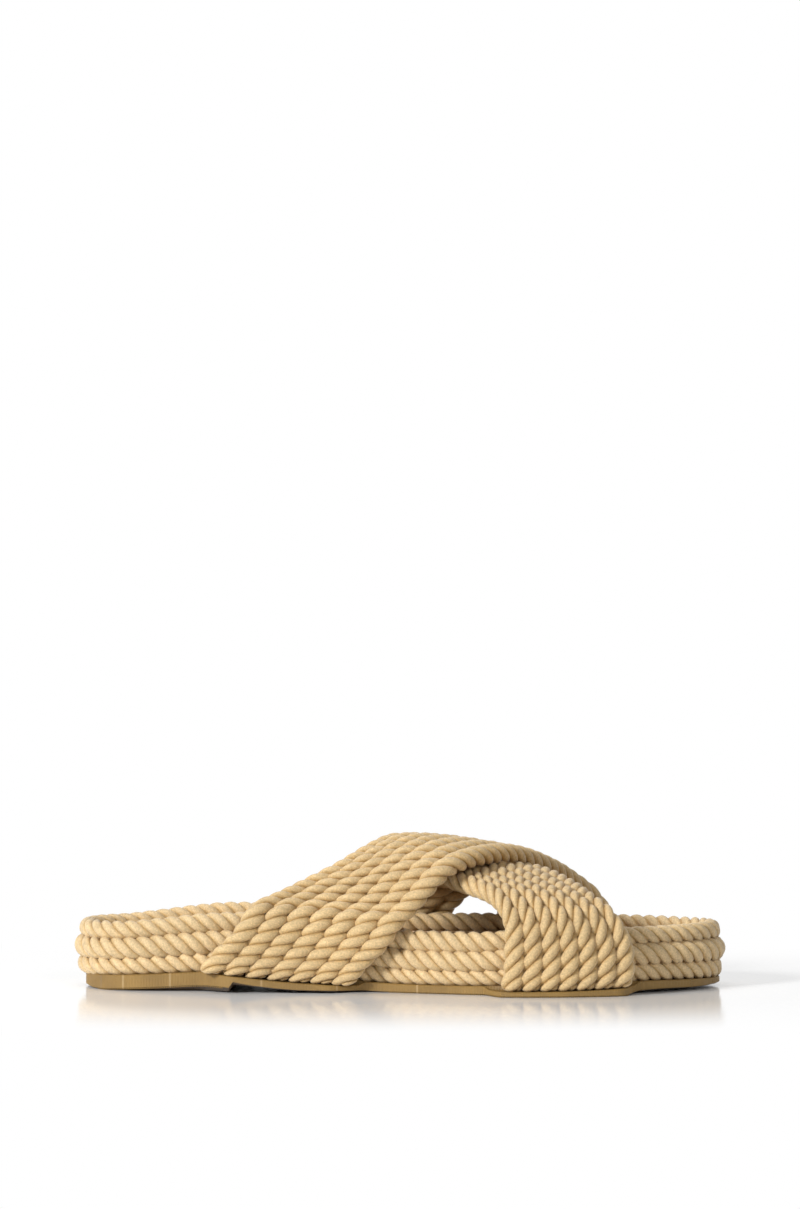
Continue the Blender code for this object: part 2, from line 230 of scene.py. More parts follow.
# Soft lights, in metres: name, place, aim, width and height, power
LIGHTS = [
    ("key", (-1.5, -1.35, 0.95), (-0.02, 0, 0.03), (0.5, 0.5), 54),
    ("front", (0.9, -1.7, 1.1), (0.03, 0, 0.02), (1.0, 0.8), 9),
    ("top", (-0.2, 0.4, 1.5), (0, 0, 0), (1.4, 1.0), 9),
]
WORLD_STRENGTH = 0.18
FLOOR_SIZE = 9.0
FLOOR_WHITE = (0.94, 0.94, 0.94, 1.0)
PURE_WHITE = (1.0, 1.0, 1.0, 1.0)
FLOOR_STRETCH = (6.7, 14.3, 1.0)
FLOOR_GLOW = 0.27

# Ledge of the outsole under each strap foot: start, full width, full width, end
INNER_LEDGES = [(50, 66, 104, 119), (165, 174, 217, 229)]
OUTER_LEDGES = [(61, 73, 126, 141), (168, 177, 219, 231)]


def read_table(table, at, column=1, scale=float):
    """Value of a table's column at a station, joined by smooth curves."""
    keys = [scale(row[0]) for row in table]
    values = [row[column] for row in table]
    key = scale(at)
    if key <= keys[0]:
        return values[0]
    if key >= keys[-1]:
        return values[-1]
    last = len(keys) - 1
    low = max(i for i in range(last) if keys[i] <= key)

    def slope(i):
        if i == 0:
            return (values[1] - values[0]) / (keys[1] - keys[0])
        if i == last:
            return (values[-1] - values[-2]) / (keys[-1] - keys[-2])
        before = keys[i] - keys[i - 1]
        after = keys[i + 1] - keys[i]
        rise_before = (values[i] - values[i - 1]) / before
        rise_after = (values[i + 1] - values[i]) / after
        if rise_before * rise_after <= 0:
            return 0.0
        mean = (rise_before * after + rise_after * before) / (before + after)
        steepest = 3 * min(abs(rise_before), abs(rise_after))
        return max(-steepest, min(steepest, mean))

    span = keys[low + 1] - keys[low]
    u = (key - keys[low]) / span
    start = (2 * u ** 3 - 3 * u ** 2 + 1) * values[low] + (u ** 3 - 2 * u ** 2 + u) * span * slope(low)
    end = (3 * u ** 2 - 2 * u ** 3) * values[low + 1] + (u ** 3 - u ** 2) * span * slope(low + 1)
    return start + end


def soft_step(x):
    x = min(1.0, max(0.0, x))
    return x * x * (3 - 2 * x)


def around_heel(station):
    return math.acos(max(-1.0, min(1.0, 1 - 2 * station / SHOE_LENGTH)))


def half_width(station, side):
    return read_table(OUTLINE, station, 1 if side < 0 else 2, around_heel)


def wall_foot(station):
    return read_table(WALL, station, 1)


def rim_height(station):
    return read_table(WALL, station, 2)


def station_of(turn):
    return SHOE_LENGTH / 2 * (1 - math.cos(turn))


def outline_point(turn, side, outset):
    """Point of the plan moved outwards by outset; turn runs from 0 at the heel to pi at the toe."""
    def place(angle):
        on_side = side
        if angle < 0:
            angle, on_side = -angle, -side
        elif angle > math.pi:
            angle, on_side = 2 * math.pi - angle, -side
        station = station_of(angle)
        return Vector((station, on_side * half_width(station, on_side)))

    along = (place(turn + 0.02) - place(turn - 0.02)).normalized()
    return place(turn) + Vector((-along.y, along.x)) * side * outset


def to_row(points):
    """Millimetres from the heel to metres in the part's frame."""
    points = np.asarray(points, dtype=float)
    return (points + np.array([-SHOE_LENGTH / 2, SIDE_SHIFT, 0.0])) * MM


def finished_piece(name, body, material, slot, *nodes, smooth=True):
    """Object that rides on the root, from a bmesh that is used up."""
    mesh = bpy.data.meshes.new(name)
    for face in body.faces:
        face.smooth = smooth
    body.to_mesh(mesh)
    body.free()
    piece = bpy.data.objects.new(name, mesh)
    bpy.context.scene.collection.objects.link(piece)
    mesh.materials.append(material)
    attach(piece, "root")
    if nodes:
        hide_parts(*nodes)
    return piece


# Ropes

def turn_strands(rope, verts, angle):
    bmesh.ops.rotate(rope, verts=verts, cent=(0, 0, 0), matrix=Matrix.Rotation(angle, 3, "X"))


def straight_rope(length, lay):
    """Three strands laid right-handed round the X axis, with the places that the finish follows."""
    rope = bmesh.new()
    crest = rope.verts.layers.float.new("crest")
    around = rope.verts.layers.float.new("around")
    along = rope.verts.layers.float.new("along")
    strand = rope.verts.layers.float.new("strand")
    offset = STRAND_OFFSET * ROPE_RADIUS
    lean = math.atan2(2 * math.pi * offset, lay)
    leaning = Matrix.Translation((0, offset, 0)) @ Matrix.Rotation(-lean, 4, "Y")
    ring = bmesh.ops.create_circle(
        rope, cap_ends=False, segments=STRAND_FACETS, radius=STRAND_RADIUS * ROPE_RADIUS,
        matrix=leaning @ Matrix.Rotation(math.pi / 2, 4, "Y"),
    )
    for i, vertex in enumerate(ring["verts"]):
        vertex[around] = i / STRAND_FACETS
    steps = max(8, round(length / STRAND_STEP))
    bmesh.ops.spin(
        rope, geom=rope.verts[:] + rope.edges[:], cent=(0, 0, 0), axis=(1, 0, 0),
        dvec=(length / steps, 0, 0), angle=2 * math.pi * length / lay, steps=steps,
    )
    first = rope.verts[:] + rope.edges[:] + rope.faces[:]
    for number in (1, 2):
        copy = bmesh.ops.duplicate(rope, geom=first)
        verts = [e for e in copy["geom"] if isinstance(e, bmesh.types.BMVert)]
        for vertex in verts:
            vertex[strand] = number
        turn_strands(rope, verts, number * 2 * math.pi / 3)
    for vertex in rope.verts:
        vertex[crest] = math.hypot(vertex.co.y, vertex.co.z) / ROPE_RADIUS
        vertex[along] = vertex.co.x
    return rope


def run_length(run):
    return float(np.sum(np.linalg.norm(np.diff(run[0], axis=0), axis=1)))


def lay_rope(rope, run, closed=False):
    """Bend a straight rope onto its run: rows of middle, beside, across, width scale, height scale."""
    middle, beside, across, wide, high = run
    steps = np.linalg.norm(np.diff(middle, axis=0), axis=1)
    travel = np.concatenate(([0.0], np.cumsum(steps)))
    if not closed:
        ends = [e for e in rope.edges if e.is_boundary]
        bmesh.ops.holes_fill(rope, edges=ends, sides=0)
    verts = rope.verts[:]
    flat = np.array([v.co[:] for v in verts])
    x = np.mod(flat[:, 0], travel[-1]) if closed else np.clip(flat[:, 0], 0.0, travel[-1])
    width = np.interp(x, travel, wide)
    height = np.interp(x, travel, high)
    if not closed:
        from_end = np.clip(np.minimum(x, travel[-1] - x) / END_ROUNDING, 0.0, 1.0)
        taper = END_RADIUS + (1 - END_RADIUS) * np.sqrt(1 - (1 - from_end) ** 3)
        width = width * taper
        height = height * taper

    def at_x(rows):
        return np.stack([np.interp(x, travel, rows[:, k]) for k in range(3)], axis=1)

    sideways = (flat[:, 1] * width)[:, None]
    outwards = (flat[:, 2] * height)[:, None]
    spots = at_x(middle) + at_x(beside) * sideways + at_x(across) * outwards
    for vertex, place in zip(verts, to_row(spots)):
        vertex.co = place
    if closed:
        bmesh.ops.remove_doubles(rope, verts=rope.verts[:], dist=MERGE_DISTANCE * MM)
    bmesh.ops.recalc_face_normals(rope, faces=rope.faces[:])


def joined_ropes(ropes):
    """One bmesh from several laid ropes, with a number per rope for its shade."""
    whole = bmesh.new()
    for number, rope in enumerate(ropes):
        part = bpy.data.meshes.new("rope part")
        shade = rope.verts.layers.float.new("rope")
        for vertex in rope.verts:
            vertex[shade] = number
        rope.to_mesh(part)
        rope.free()
        whole.from_mesh(part)
        bpy.data.meshes.remove(part)
    return whole


def instep_point(station, across):
    """Point of the surface that the lower strap's middle follows, 0 inner foot to 1 outer foot."""
    rim = rim_height(station)
    crown = read_table(CROWN, station)
    rise = crown - rim
    foot = read_table(STRAP_FOOT, station) + 0.4
    # towards the toe the strap bulges out more over the rim
    box = soft_step((station - 125) / 45)
    # side of the strap from its foot up: way across, distance outside the plan, height
    flank = [
        (0.0, 4.1, foot), (0.09, 4.2 + 0.2 * box, foot + 9), (0.18, 3.3 + 0.9 * box, rim - 4.5 + 2 * box),
        (0.215, 1.1 + 2.2 * box, rim + 1.7 + 0.5 * box),
        (0.25, -2.5 + 3.8 * box, rim + 4.4 + 0.08 * (rise - 16) + 1.8 * box),
        (0.31, -9.5 + 3 * box, rim + 1.2 + 0.52 * rise + box),
    ]
    rows = [(way, -half_width(station, -1) - out, z) for way, out, z in flank]
    rows.append((0.40, -0.45 * half_width(station, -1), rim + 0.88 * rise))
    rows.append((0.50, 0.0, crown))
    rows.append((0.60, 0.45 * half_width(station, 1), rim + 0.88 * rise))
    rows += [(1 - way, half_width(station, 1) + out, z) for way, out, z in reversed(flank)]
    return Vector((station, read_table(rows, across, 1), read_table(rows, across, 2)))


def rope_centre(strap, row, across):
    """Middle of a rope; row is 0 for the rearmost rope and 1 for the foremost."""
    table = OVER_STRAP if strap == "over" else UNDER_STRAP
    across = min(1.0, max(0.0, across))
    rear = read_table(table, across, 1)
    fore = read_table(table, across, 2)
    point = instep_point(rear + (fore - rear) * row, across)
    if strap == "over":
        # the strap on top rises to cross the other one and sinks again beyond it
        crossing = 0.65 - 0.20 * row
        lift = soft_step((across - crossing + 0.26) / 0.17)
        lift *= soft_step((crossing + 0.24 + 0.19 * row - across) / (0.15 + 0.18 * row))
        point.z += STRAP_LIFT * lift
    else:
        # the rearmost ropes of the lower strap sag in the middle of the foot
        inner_share = soft_step((across - 0.29) / 0.12)
        outer_share = soft_step((0.62 - across) / 0.2)
        point.z -= REAR_SAG * (1 - row) ** 1.5 * inner_share * outer_share
    return point


def strap_run(strap, row, rows=90):
    """Middle line of one strap rope with its frame and how far its neighbours squeeze it."""
    ways = [i / rows for i in range(rows + 1)]
    middle = np.array([rope_centre(strap, row, way)[:] for way in ways])
    half_row = 0.5 / (ROPES_PER_STRAP - 1)
    rear = np.array([rope_centre(strap, max(0.0, row - half_row), way)[:] for way in ways])
    fore = np.array([rope_centre(strap, min(1.0, row + half_row), way)[:] for way in ways])
    along = np.gradient(middle, axis=0)
    along /= np.linalg.norm(along, axis=1)[:, None]
    beside = fore - rear
    square = np.array([soft_step(min(way, 1 - way) / 0.07) for way in ways])[:, None]
    beside -= along * np.sum(along * beside, axis=1)[:, None] * square
    room = np.linalg.norm(beside, axis=1) * (2 if row in (0.0, 1.0) else 1)
    beside /= np.linalg.norm(beside, axis=1)[:, None]
    upright = np.array([[0.0, 0.0, 1.0 if way < 0.5 else -1.0] for way in ways])
    across = np.cross(along * square + upright * (1 - square), beside)
    across /= np.linalg.norm(across, axis=1)[:, None]
    wide = np.clip(room / (2 * ROPE_RADIUS) * ROPE_FULLNESS, NARROWEST_ROPE, WIDEST_ROPE)
    high = np.full(len(ways), ROPE_HEIGHT)
    return middle, beside, across, wide, high


def build_strap(name, strap, lay, material, *nodes):
    """One strap: its ropes side by side, from the rearmost to the foremost."""
    ropes = []
    for i in range(ROPES_PER_STRAP):
        run = strap_run(strap, i / (ROPES_PER_STRAP - 1))
        rope = straight_rope(run_length(run), lay)
        turn_strands(rope, rope.verts[:], 2 * math.pi * (STRAND_SHIFT * i % 1.0))
        lay_rope(rope, run)
        ropes.append(rope)
    return finished_piece(name, joined_ropes(ropes), material, "upper", *nodes)


def course_run(level, rows=360):
    """Middle line of one course of the wall; level is 0 lower, 1 middle, 2 upper."""
    middle, wide, high = [], [], []
    start, end, waist_start, waist_end, set_in, width = COURSES[level]
    for i in range(rows + 1):
        angle = 2 * math.pi * i / rows
        side = -1 if angle <= math.pi else 1
        turn = angle if side < 0 else 2 * math.pi - angle
        station = station_of(turn)
        # the waist counts in full up to 0.3 of its reach and not at all past 1.3 of it
        waist = soft_step(1.3 - abs(station - WAIST_STATION) / WAIST_REACH) if side < 0 else 0.0
        stack = rim_height(station) - WAIST_DIP * waist - wall_foot(station)
        low = start + (waist_start - start) * waist
        top = end + (waist_end - end) * waist
        spot = outline_point(turn, side, -set_in)
        middle.append((spot.x, spot.y, wall_foot(station) + stack * (low + top) / 2))
        high.append(stack * (top - low) / 2 / ROPE_RADIUS * COURSE_FULLNESS)
        wide.append(width)
    middle = np.array(middle)
    along = np.roll(middle[:-1], -1, axis=0) - np.roll(middle[:-1], 1, axis=0)
    along = np.vstack([along, along[:1]])
    along /= np.linalg.norm(along, axis=1)[:, None]
    down = np.array([0.0, 0.0, -1.0])
    beside = np.cross(down, along)
    beside /= np.linalg.norm(beside, axis=1)[:, None]
    across = np.cross(along, beside)
    return middle, beside, across, np.array(wide), np.array(high)


def build_course(name, level, material, slot, node):
    """One closed course; its lay is fitted so that the strands meet after a whole number of thirds."""
    run = course_run(level)
    length = run_length(run)
    thirds = round(3 * length / WALL_LAY)
    rope = straight_rope(length, 3 * length / thirds)
    turn_strands(rope, rope.verts[:], COURSE_TURN * level)
    lay_rope(rope, run, closed=True)
    return finished_piece(name, joined_ropes([rope]), material, slot, node)


# Outsole and footbed

def ledge_share(station, side):
    """How much of the ledge's width the outsole has at a station, 0 to 1."""
    share = 0.0
    for start, full, full_end, end in INNER_LEDGES if side < 0 else OUTER_LEDGES:
        rise = soft_step((station - start) / (full - start))
        fall = soft_step((end - station) / (end - full_end))
        share = max(share, rise * fall)
    return share


def underside(station):
    if station <= HEEL_BREAST:
        return read_table(HEEL, station)
    return read_table(ARCH, station)


def outsole_reach(station, side):
    """Distance of the outsole's edge outside the plan of the ropes."""
    heel_end = soft_step(1 - station / HEEL_END)
    toe_end = soft_step(1 - (SHOE_LENGTH - station) / TOE_END)
    ledge = ledge_share(station, side) * (LEDGE_WIDTH + OUTSOLE_SET_IN)
    return -OUTSOLE_SET_IN - HEEL_SET_IN * heel_end - TOE_SET_IN * toe_end + ledge


def footprint_turns(count, breaks=()):
    """Turns from the heel to the toe, with some at chosen stations and none too close to those."""
    turns = [math.pi * i / count for i in range(count + 1)]
    for station in breaks:
        turn = around_heel(station)
        turns = [t for t in turns if abs(t - turn) > CLOSEST_TURN or t in (0.0, math.pi)] + [turn]
    return sorted(turns)


def footprint_ring(body, turns, point):
    """Loop of vertices round the foot, inner side first, from a circle."""
    ring = bmesh.ops.create_circle(body, cap_ends=False, segments=2 * len(turns) - 2, radius=1.0)["verts"]
    sides = [(turn, -1) for turn in turns] + [(turn, 1) for turn in reversed(turns[1:-1])]
    order = [ring[0]]
    while len(order) < len(ring):
        here = order[-1]
        beyond = [e.other_vert(here) for e in here.link_edges]
        fresh = [v for v in beyond if v not in order[-2:]]
        order.append(fresh[0])
    for vertex, (turn, side) in zip(order, sides):
        vertex.co = point(turn, side)
    return order, sides


def rise_ring(body, order, sides, point):
    """Extrude the loop and move its new vertices to their places."""
    edges = [body.edges.get((order[i - 1], order[i])) for i in range(len(order))]
    old = set(order)
    grown = bmesh.ops.extrude_edge_only(body, edges=edges)["geom"]
    fresh = [v for v in grown if isinstance(v, bmesh.types.BMVert)]
    partner = {}
    for vertex in fresh:
        for edge in vertex.link_edges:
            other = edge.other_vert(vertex)
            if other in old:
                partner[other] = vertex
    new_order = [partner[v] for v in order]
    for vertex, (turn, side) in zip(new_order, sides):
        vertex.co = point(turn, side)
    return new_order


def close_footprint(body, order):
    """Close a loop by rungs from the inner side to the outer side."""
    half = len(order) // 2
    inner = order[1:half]
    outer = list(reversed(order[half + 1:]))
    rungs = [body.edges.get((a, b)) for chain in (inner, outer) for a, b in zip(chain, chain[1:])]
    bmesh.ops.bridge_loops(body, edges=rungs)
    bmesh.ops.contextual_create(body, geom=[order[0], inner[0], outer[0]])
    bmesh.ops.contextual_create(body, geom=[order[half], inner[-1], outer[-1]])


def footprint_body(turns, points):
    """Closed body from loops round the foot, each given by its own function of turn and side."""
    body = bmesh.new()
    order, sides = footprint_ring(body, turns, points[0])
    close_footprint(body, order)
    for point in points[1:]:
        order = rise_ring(body, order, sides, point)
    close_footprint(body, order)
    bmesh.ops.recalc_face_normals(body, faces=body.faces[:])
    return body


def place_in_row(body):
    for vertex in body.verts:
        vertex.co = Vector(to_row(vertex.co[:]))


def slanted(turn, side):
    """The heel's breast runs askew: on the outer side it lies further forward."""
    if side < 0:
        return turn
    station = station_of(turn)
    near = soft_step(1 - abs(station - HEEL_BREAST) / BREAST_SLANT_REACH)
    return around_heel(station + BREAST_SLANT * near)


def outsole_point(inset, height, from_plan=False):
    """Function of turn and side; from_plan is for the bed, which follows the ropes inside the ledges."""
    def point(turn, side):
        tread_station = station_of(turn)
        own_turn = slanted(turn, side)
        station = station_of(own_turn)
        reach = outsole_reach(station, side)
        base = min(-BED_SET_IN, reach - 0.6) if from_plan else reach
        spot = outline_point(own_turn, side, base - inset)
        # the edge rises to the ledge's height where it comes out from under the ropes
        ledge = soft_step((reach + 0.9) / 0.7)
        slab_top = wall_foot(station) - BED_GAP
        ledge_top = read_table(STRAP_FOOT, station) + LEDGE_RISE
        edge_top = slab_top + (ledge_top - slab_top) * ledge
        return (spot.x, spot.y, height(tread_station, edge_top, slab_top))
    return point


def build_outsole(material):
    """Moulded rubber sole: flat tread area, raised edge, upright side wall and the bed under the ropes."""
    turns = footprint_turns(OUTSOLE_STEPS, (HEEL_BREAST, HEEL_BREAST + BREAST_RUN))
    sole = footprint_body(turns, [
        outsole_point(4.0, lambda s, edge, slab: underside(s)),
        outsole_point(0.5, lambda s, edge, slab: underside(s) + read_table(EDGE_LIFT, s)),
        outsole_point(0.0, lambda s, edge, slab: underside(s) + read_table(EDGE_LIFT, s) + 0.35),
        outsole_point(0.0, lambda s, edge, slab: edge - 0.35),
        outsole_point(0.4, lambda s, edge, slab: edge),
        outsole_point(0.2, lambda s, edge, slab: edge, from_plan=True),
        outsole_point(0.8, lambda s, edge, slab: slab, from_plan=True),
    ])
    run = sole.verts.layers.float.new("run")
    under = sole.verts.layers.float.new("under")
    painted_shade_verts = 2 * (2 * len(turns) - 2)  # the first two loops bound the tread area
    # painted shade: the tread area and the slope up to the edge take the dark underside colour
    for number, vertex in enumerate(sole.verts):
        vertex[under] = 1.0 if number < painted_shade_verts else 0.0
        vertex[run] = vertex.co.x + (RIB_OUTER_SHIFT if vertex.co.y > 0 else 0.0)
        ends = max(0.0, RIB_HEEL_BEND - vertex.co.x) + max(0.0, vertex.co.x - RIB_TOE_BEND)
        if ends > 0:
            vertex[run] += abs(vertex.co.y) * RIB_BEND
    place_in_row(sole)
    piece = finished_piece("outsole_rubber", sole, material, "outsole", "outsole")
    piece.data.set_sharp_from_angle(angle=math.radians(SHARP_ANGLE))
    return piece


def add_tooth(teeth, station, side):
    """One tooth, narrower at its tip, from the outsole's edge down towards the floor."""
    turn = around_heel(station)
    reach = outsole_reach(station, side)
    outer = outline_point(turn, side, reach - TOOTH_OUTER_INSET)
    inner = outline_point(turn, side, reach - TOOTH_INNER_INSET)
    edge = underside(station) + read_table(EDGE_LIFT, station)
    for vertex in bmesh.ops.create_cube(teeth, size=1.0)["verts"]:
        is_outer = vertex.co.y < 0
        is_root = vertex.co.z > 0
        spot = outer if is_outer else inner
        tip = max(TOOTH_FLOOR_GAP, edge - (TOOTH_OUTER_DROP if is_outer else TOOTH_INNER_DROP))
        half = TOOTH_ROOT_HALF if is_root else TOOTH_TIP_HALF
        x = spot.x + math.copysign(half, vertex.co.x)
        vertex.co = (x, spot.y, edge + TOOTH_ROOT if is_root else tip)


def build_tread_teeth(material):
    """Fine cross ribs that show under the edge of the heel and of the forefoot."""
    teeth = bmesh.new()
    for start, end in TEETH_SPANS:
        station = start
        while station < end:
            for side in (-1, 1):
                add_tooth(teeth, station, side)
            station += TEETH_SPACING
    bmesh.ops.recalc_face_normals(teeth, faces=teeth.faces[:])
    place_in_row(teeth)
    return finished_piece("tread_teeth", teeth, material, "outsole", smooth=False)


def build_footbed(material):
    """Lined footbed with a soft dish and a rolled edge."""
    def ring(inset, drop):
        def point(turn, side):
            station = station_of(turn)
            spot = outline_point(turn, side, -inset)
            return (spot.x, spot.y, rim_height(station) - drop)
        return point

    bed = footprint_body(
        footprint_turns(FOOTBED_STEPS), [ring(inset, drop) for inset, drop in FOOTBED_SECTION],
    )
    place_in_row(bed)
    return finished_piece("footbed_lining", bed, material, "insole", "insole")


def build_stitches(material):
    """Row of thread stitches round the footbed's edge."""
    thread = bmesh.new()
    shape = Matrix.Diagonal((*STITCH_HALF_SIZE, 1.0))
    for side in (-1, 1):
        turn = STITCH_END_TURN
        while turn < math.pi - STITCH_END_TURN:
            here = outline_point(turn, side, -STITCH_INSET)
            along = outline_point(turn + SMALL_TURN, side, -STITCH_INSET) - here
            height = rim_height(station_of(turn)) - STITCH_DROP
            place = Matrix.Translation((here.x, here.y, height))
            turned = Matrix.Rotation(math.atan2(along.y, along.x), 4, "Z")
            bmesh.ops.create_uvsphere(
                thread, u_segments=8, v_segments=5, radius=1.0, matrix=place @ (turned @ shape),
            )
            turn += STITCH_SPACING / max(along.length / SMALL_TURN, 1.0)
    place_in_row(thread)
    return finished_piece("footbed_stitching", thread, material, "insole")


# Finishes

def node_of(tree, kind, **values):
    node = tree.nodes.new(kind)
    for key, value in values.items():
        setattr(node, key, value)
    return node


def new_finish(name, roughness):
    material = bpy.data.materials.new(name)
    material.use_nodes = True
    shader = material.node_tree.nodes["Principled BSDF"]
    shader.inputs["Roughness"].default_value = roughness
    return material, material.node_tree, shader


def attribute(tree, name):
    return node_of(tree, "ShaderNodeAttribute", attribute_name=name).outputs["Fac"]


def own_place(tree):
    return node_of(tree, "ShaderNodeTexCoord").outputs["Object"]


def maths(tree, operation, *values):
    """Math node on sockets and plain numbers."""
    node = node_of(tree, "ShaderNodeMath", operation=operation)
    for socket, value in zip(node.inputs, values):
        if isinstance(value, (int, float)):
            socket.default_value = value
        else:
            tree.links.new(value, socket)
    return node.outputs[0]


def noise(tree, place, scale, detail=2.0, roughness=0.5):
    node = node_of(tree, "ShaderNodeTexNoise")
    node.inputs["Scale"].default_value = scale
    node.inputs["Detail"].default_value = detail
    node.inputs["Roughness"].default_value = roughness
    tree.links.new(place, node.inputs["Vector"])
    return node.outputs["Fac"]


def stretched(tree, value, low, high, start=0.3, end=0.7, way="LINEAR"):
    """Value between start and end stretched to low and high."""
    node = node_of(tree, "ShaderNodeMapRange", interpolation_type=way)
    node.inputs["From Min"].default_value = start
    node.inputs["From Max"].default_value = end
    node.inputs["To Min"].default_value = low
    node.inputs["To Max"].default_value = high
    tree.links.new(value, node.inputs["Value"])
    return node.outputs["Result"]


def shaded(tree, value, *stops):
    """Colour from a value by stops of (value, colour), lowest first."""
    node = node_of(tree, "ShaderNodeValToRGB")
    elements = node.color_ramp.elements
    for element, (place, colour) in zip(elements, (stops[0], stops[-1])):
        element.position = place
        element.color = (*colour, 1.0)
    for place, colour in stops[1:-1]:
        elements.new(place).color = (*colour, 1.0)
    tree.links.new(value, node.inputs["Fac"])
    return node.outputs["Color"]


def turned_to(tree, share, colour, other):
    """Colour that turns to the other one as the share rises."""
    node = node_of(tree, "ShaderNodeMix", data_type="RGBA")
    tree.links.new(share, node.inputs["Factor"])
    tree.links.new(colour, node.inputs["A"])
    node.inputs["B"].default_value = (*other, 1.0)
    return node.outputs["Result"]


def bump(tree, height, strength, distance, over=None):
    node = node_of(tree, "ShaderNodeBump")
    node.inputs["Strength"].default_value = strength
    node.inputs["Distance"].default_value = distance
    tree.links.new(height, node.inputs["Height"])
    if over is not None:
        tree.links.new(over, node.inputs["Normal"])
    return node.outputs["Normal"]


def rope_finish(name, crown, flank, groove_shade):
    """Straw-coloured laid fibre with fine yarn lines; painted shade: pale on the crowns of the strands,
    browner on their flanks, dark in the grooves.
    """
    material, tree, shader = new_finish(name, roughness=0.5)
    shader.inputs["Specular IOR Level"].default_value = 0.45
    shader.inputs["Sheen Weight"].default_value = 0.25
    shader.inputs["Sheen Roughness"].default_value = 0.4
    link = tree.links.new
    along = attribute(tree, "along")
    # yarns wind round each strand against its lay
    wind = maths(tree, "MULTIPLY_ADD", along, -0.055, attribute(tree, "around"))
    angle = maths(tree, "MULTIPLY", wind, 2 * math.pi)
    # each strand of each rope reads its own part of the pattern
    apart = maths(tree, "MULTIPLY_ADD", attribute(tree, "rope"), 7.0, attribute(tree, "strand"))
    place = node_of(tree, "ShaderNodeCombineXYZ")
    link(maths(tree, "SINE", angle), place.inputs["X"])
    link(maths(tree, "COSINE", angle), place.inputs["Y"])
    link(maths(tree, "MULTIPLY_ADD", along, 0.09, apart), place.inputs["Z"])
    yarn = noise(tree, place.outputs[0], scale=7.0, detail=4.0, roughness=0.62)
    tone = stretched(tree, yarn, 0.79, 1.16)
    # slow change of shade along the rope, and small specks
    spots = own_place(tree)
    slow = stretched(tree, noise(tree, spots, scale=55.0), 0.94, 1.05)
    specks = stretched(tree, noise(tree, spots, scale=1300.0, detail=3.0), 0.81, 1.17)
    brightness = maths(tree, "MULTIPLY", maths(tree, "MULTIPLY", tone, slow), specks)
    colour = node_of(tree, "ShaderNodeVectorMath", operation="SCALE")
    # painted shade: the colour darkens from the crowns towards the rope's axis, standing in for the shade in
    # the grooves between strands
    painted_strand_shade = shaded(tree, attribute(tree, "crest"), (0.53, groove_shade), (0.68, flank), (0.97, crown))
    link(painted_strand_shade, colour.inputs[0])
    link(brightness, colour.inputs["Scale"])
    link(colour.outputs[0], shader.inputs["Base Color"])
    yarn_relief = bump(tree, yarn, strength=0.55, distance=0.0005)
    grain = noise(tree, spots, scale=2600.0)
    link(bump(tree, grain, strength=0.25, distance=0.0002, over=yarn_relief), shader.inputs["Normal"])
    return material


def rubber_finish():
    """Tan moulded rubber with fine upright ribs round its edge, with painted shade on its underside."""
    material, tree, shader = new_finish("outsole rubber", roughness=0.55)
    link = tree.links.new
    spots = own_place(tree)
    patch = noise(tree, spots, scale=90.0, detail=4.0)
    colour = shaded(tree, patch, (0.3, RUBBER[0]), (0.7, RUBBER[1]))
    split = node_of(tree, "ShaderNodeSeparateXYZ")
    link(spots, split.inputs[0])
    marks = 0.0
    for station in SIDE_MARKS:
        middle = (station - SHOE_LENGTH / 2) * MM
        near = maths(tree, "COMPARE", split.outputs["X"], middle, MARK_HALF_WIDTH * MM)
        marks = maths(tree, "MAXIMUM", marks, near)
    colour = turned_to(tree, maths(tree, "MULTIPLY", marks, 0.3), colour, RUBBER_MARK)
    # painted shade on the underside and on the slope up to the edge
    colour = turned_to(tree, attribute(tree, "under"), colour, RUBBER_UNDERSIDE_SHADE)
    link(colour, shader.inputs["Base Color"])
    wave = maths(tree, "SINE", maths(tree, "MULTIPLY", attribute(tree, "run"), 2 * math.pi / RIB_SPACING))
    link(bump(tree, wave, strength=0.5, distance=0.0001), shader.inputs["Normal"])
    return material


def lining_finish():
    """Smooth tan footbed lining with a soft grain."""
    material, tree, shader = new_finish("footbed lining", roughness=0.5)
    link = tree.links.new
    spots = own_place(tree)
    patch = noise(tree, spots, scale=35.0, detail=5.0)
    link(shaded(tree, patch, (0.3, LINING[0]), (0.7, LINING[1])), shader.inputs["Base Color"])
    pores = node_of(tree, "ShaderNodeTexVoronoi")
    pores.inputs["Scale"].default_value = 900.0
    link(spots, pores.inputs["Vector"])
    link(bump(tree, pores.outputs["Distance"], strength=0.3, distance=0.0003), shader.inputs["Normal"])
    return material


def thread_finish():
    """Waxed linen thread."""
    material, tree, shader = new_finish("stitching thread", roughness=0.6)
    twist = noise(tree, own_place(tree), scale=1500.0)
    tree.links.new(shaded(tree, twist, (0.0, THREAD[0]), (1.0, THREAD[1])), shader.inputs["Base Color"])
    return material


# Studio

def seen_directly(tree):
    """1 for rays from the camera or off a polished surface, otherwise 0."""
    rays = node_of(tree, "ShaderNodeLightPath")
    return maths(tree, "MAXIMUM", rays.outputs["Is Camera Ray"], rays.outputs["Is Glossy Ray"])


def mixed_shader(tree, share, first, second):
    node = node_of(tree, "ShaderNodeMixShader")
    tree.links.new(share, node.inputs[0])
    tree.links.new(first.outputs[0], node.inputs[1])
    tree.links.new(second.outputs[0], node.inputs[2])
    return node.outputs[0]


